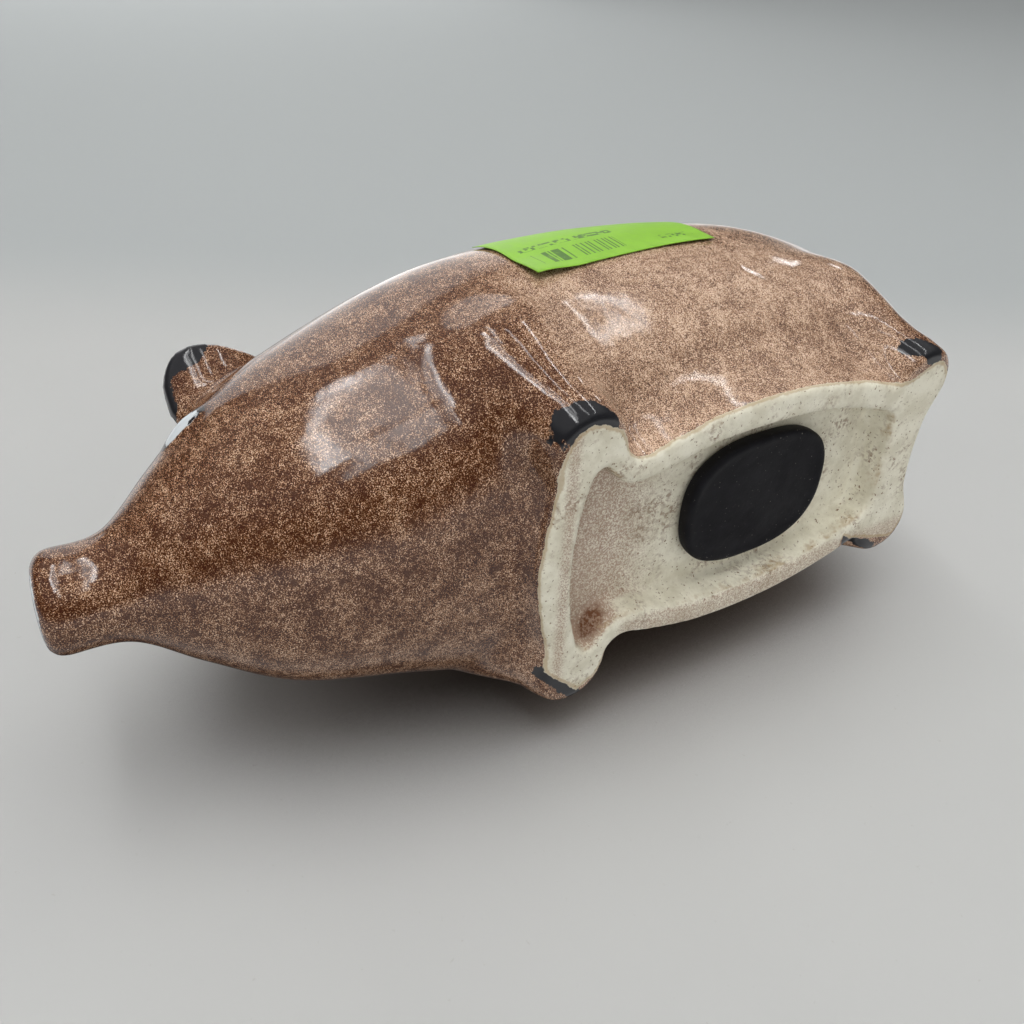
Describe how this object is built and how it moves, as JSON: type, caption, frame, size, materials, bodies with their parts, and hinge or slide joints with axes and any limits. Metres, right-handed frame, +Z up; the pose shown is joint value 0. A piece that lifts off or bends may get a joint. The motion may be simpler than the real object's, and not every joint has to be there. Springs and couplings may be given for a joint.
{
  "type": "figural animal coin bank",
  "caption": "Speckled brown glazed ceramic pig money box with a coin slot in its back and a black rubber stopper in its belly.",
  "frame": {"origin": "centre of the bounding box's footprint, on the plane that the foot ring stands on", "axes": "+Z up from the feet to the back, -Y towards the snout, +X to the pig's left"},
  "size_m": [0.1037, 0.228, 0.0986],
  "materials": {
    "speckled_glaze": "gloss",
    "black_glaze": "gloss",
    "white_glaze": "gloss",
    "bare_ceramic": "matte",
    "rubber": "matte",
    "paper": "satin"
  },
  "bodies": {
    "bank": {"body_shell": "speckled_glaze", "foot_ring": "bare_ceramic", "front_left_hoof": "black_glaze", "front_right_hoof": "black_glaze", "rear_left_hoof": "black_glaze", "rear_right_hoof": "black_glaze", "left_ear": "speckled_glaze", "right_ear": "speckled_glaze", "tail": "speckled_glaze", "snout_disc": "white_glaze", "price_label": "paper"},
    "stopper": {"stopper": "rubber"}
  },
  "joints": [
    {"name": "stopper_pull", "type": "slide", "parent": "bank", "child": "stopper", "axis": [0, 0, -1], "range_m": [0, 0.02]}
  ]
}
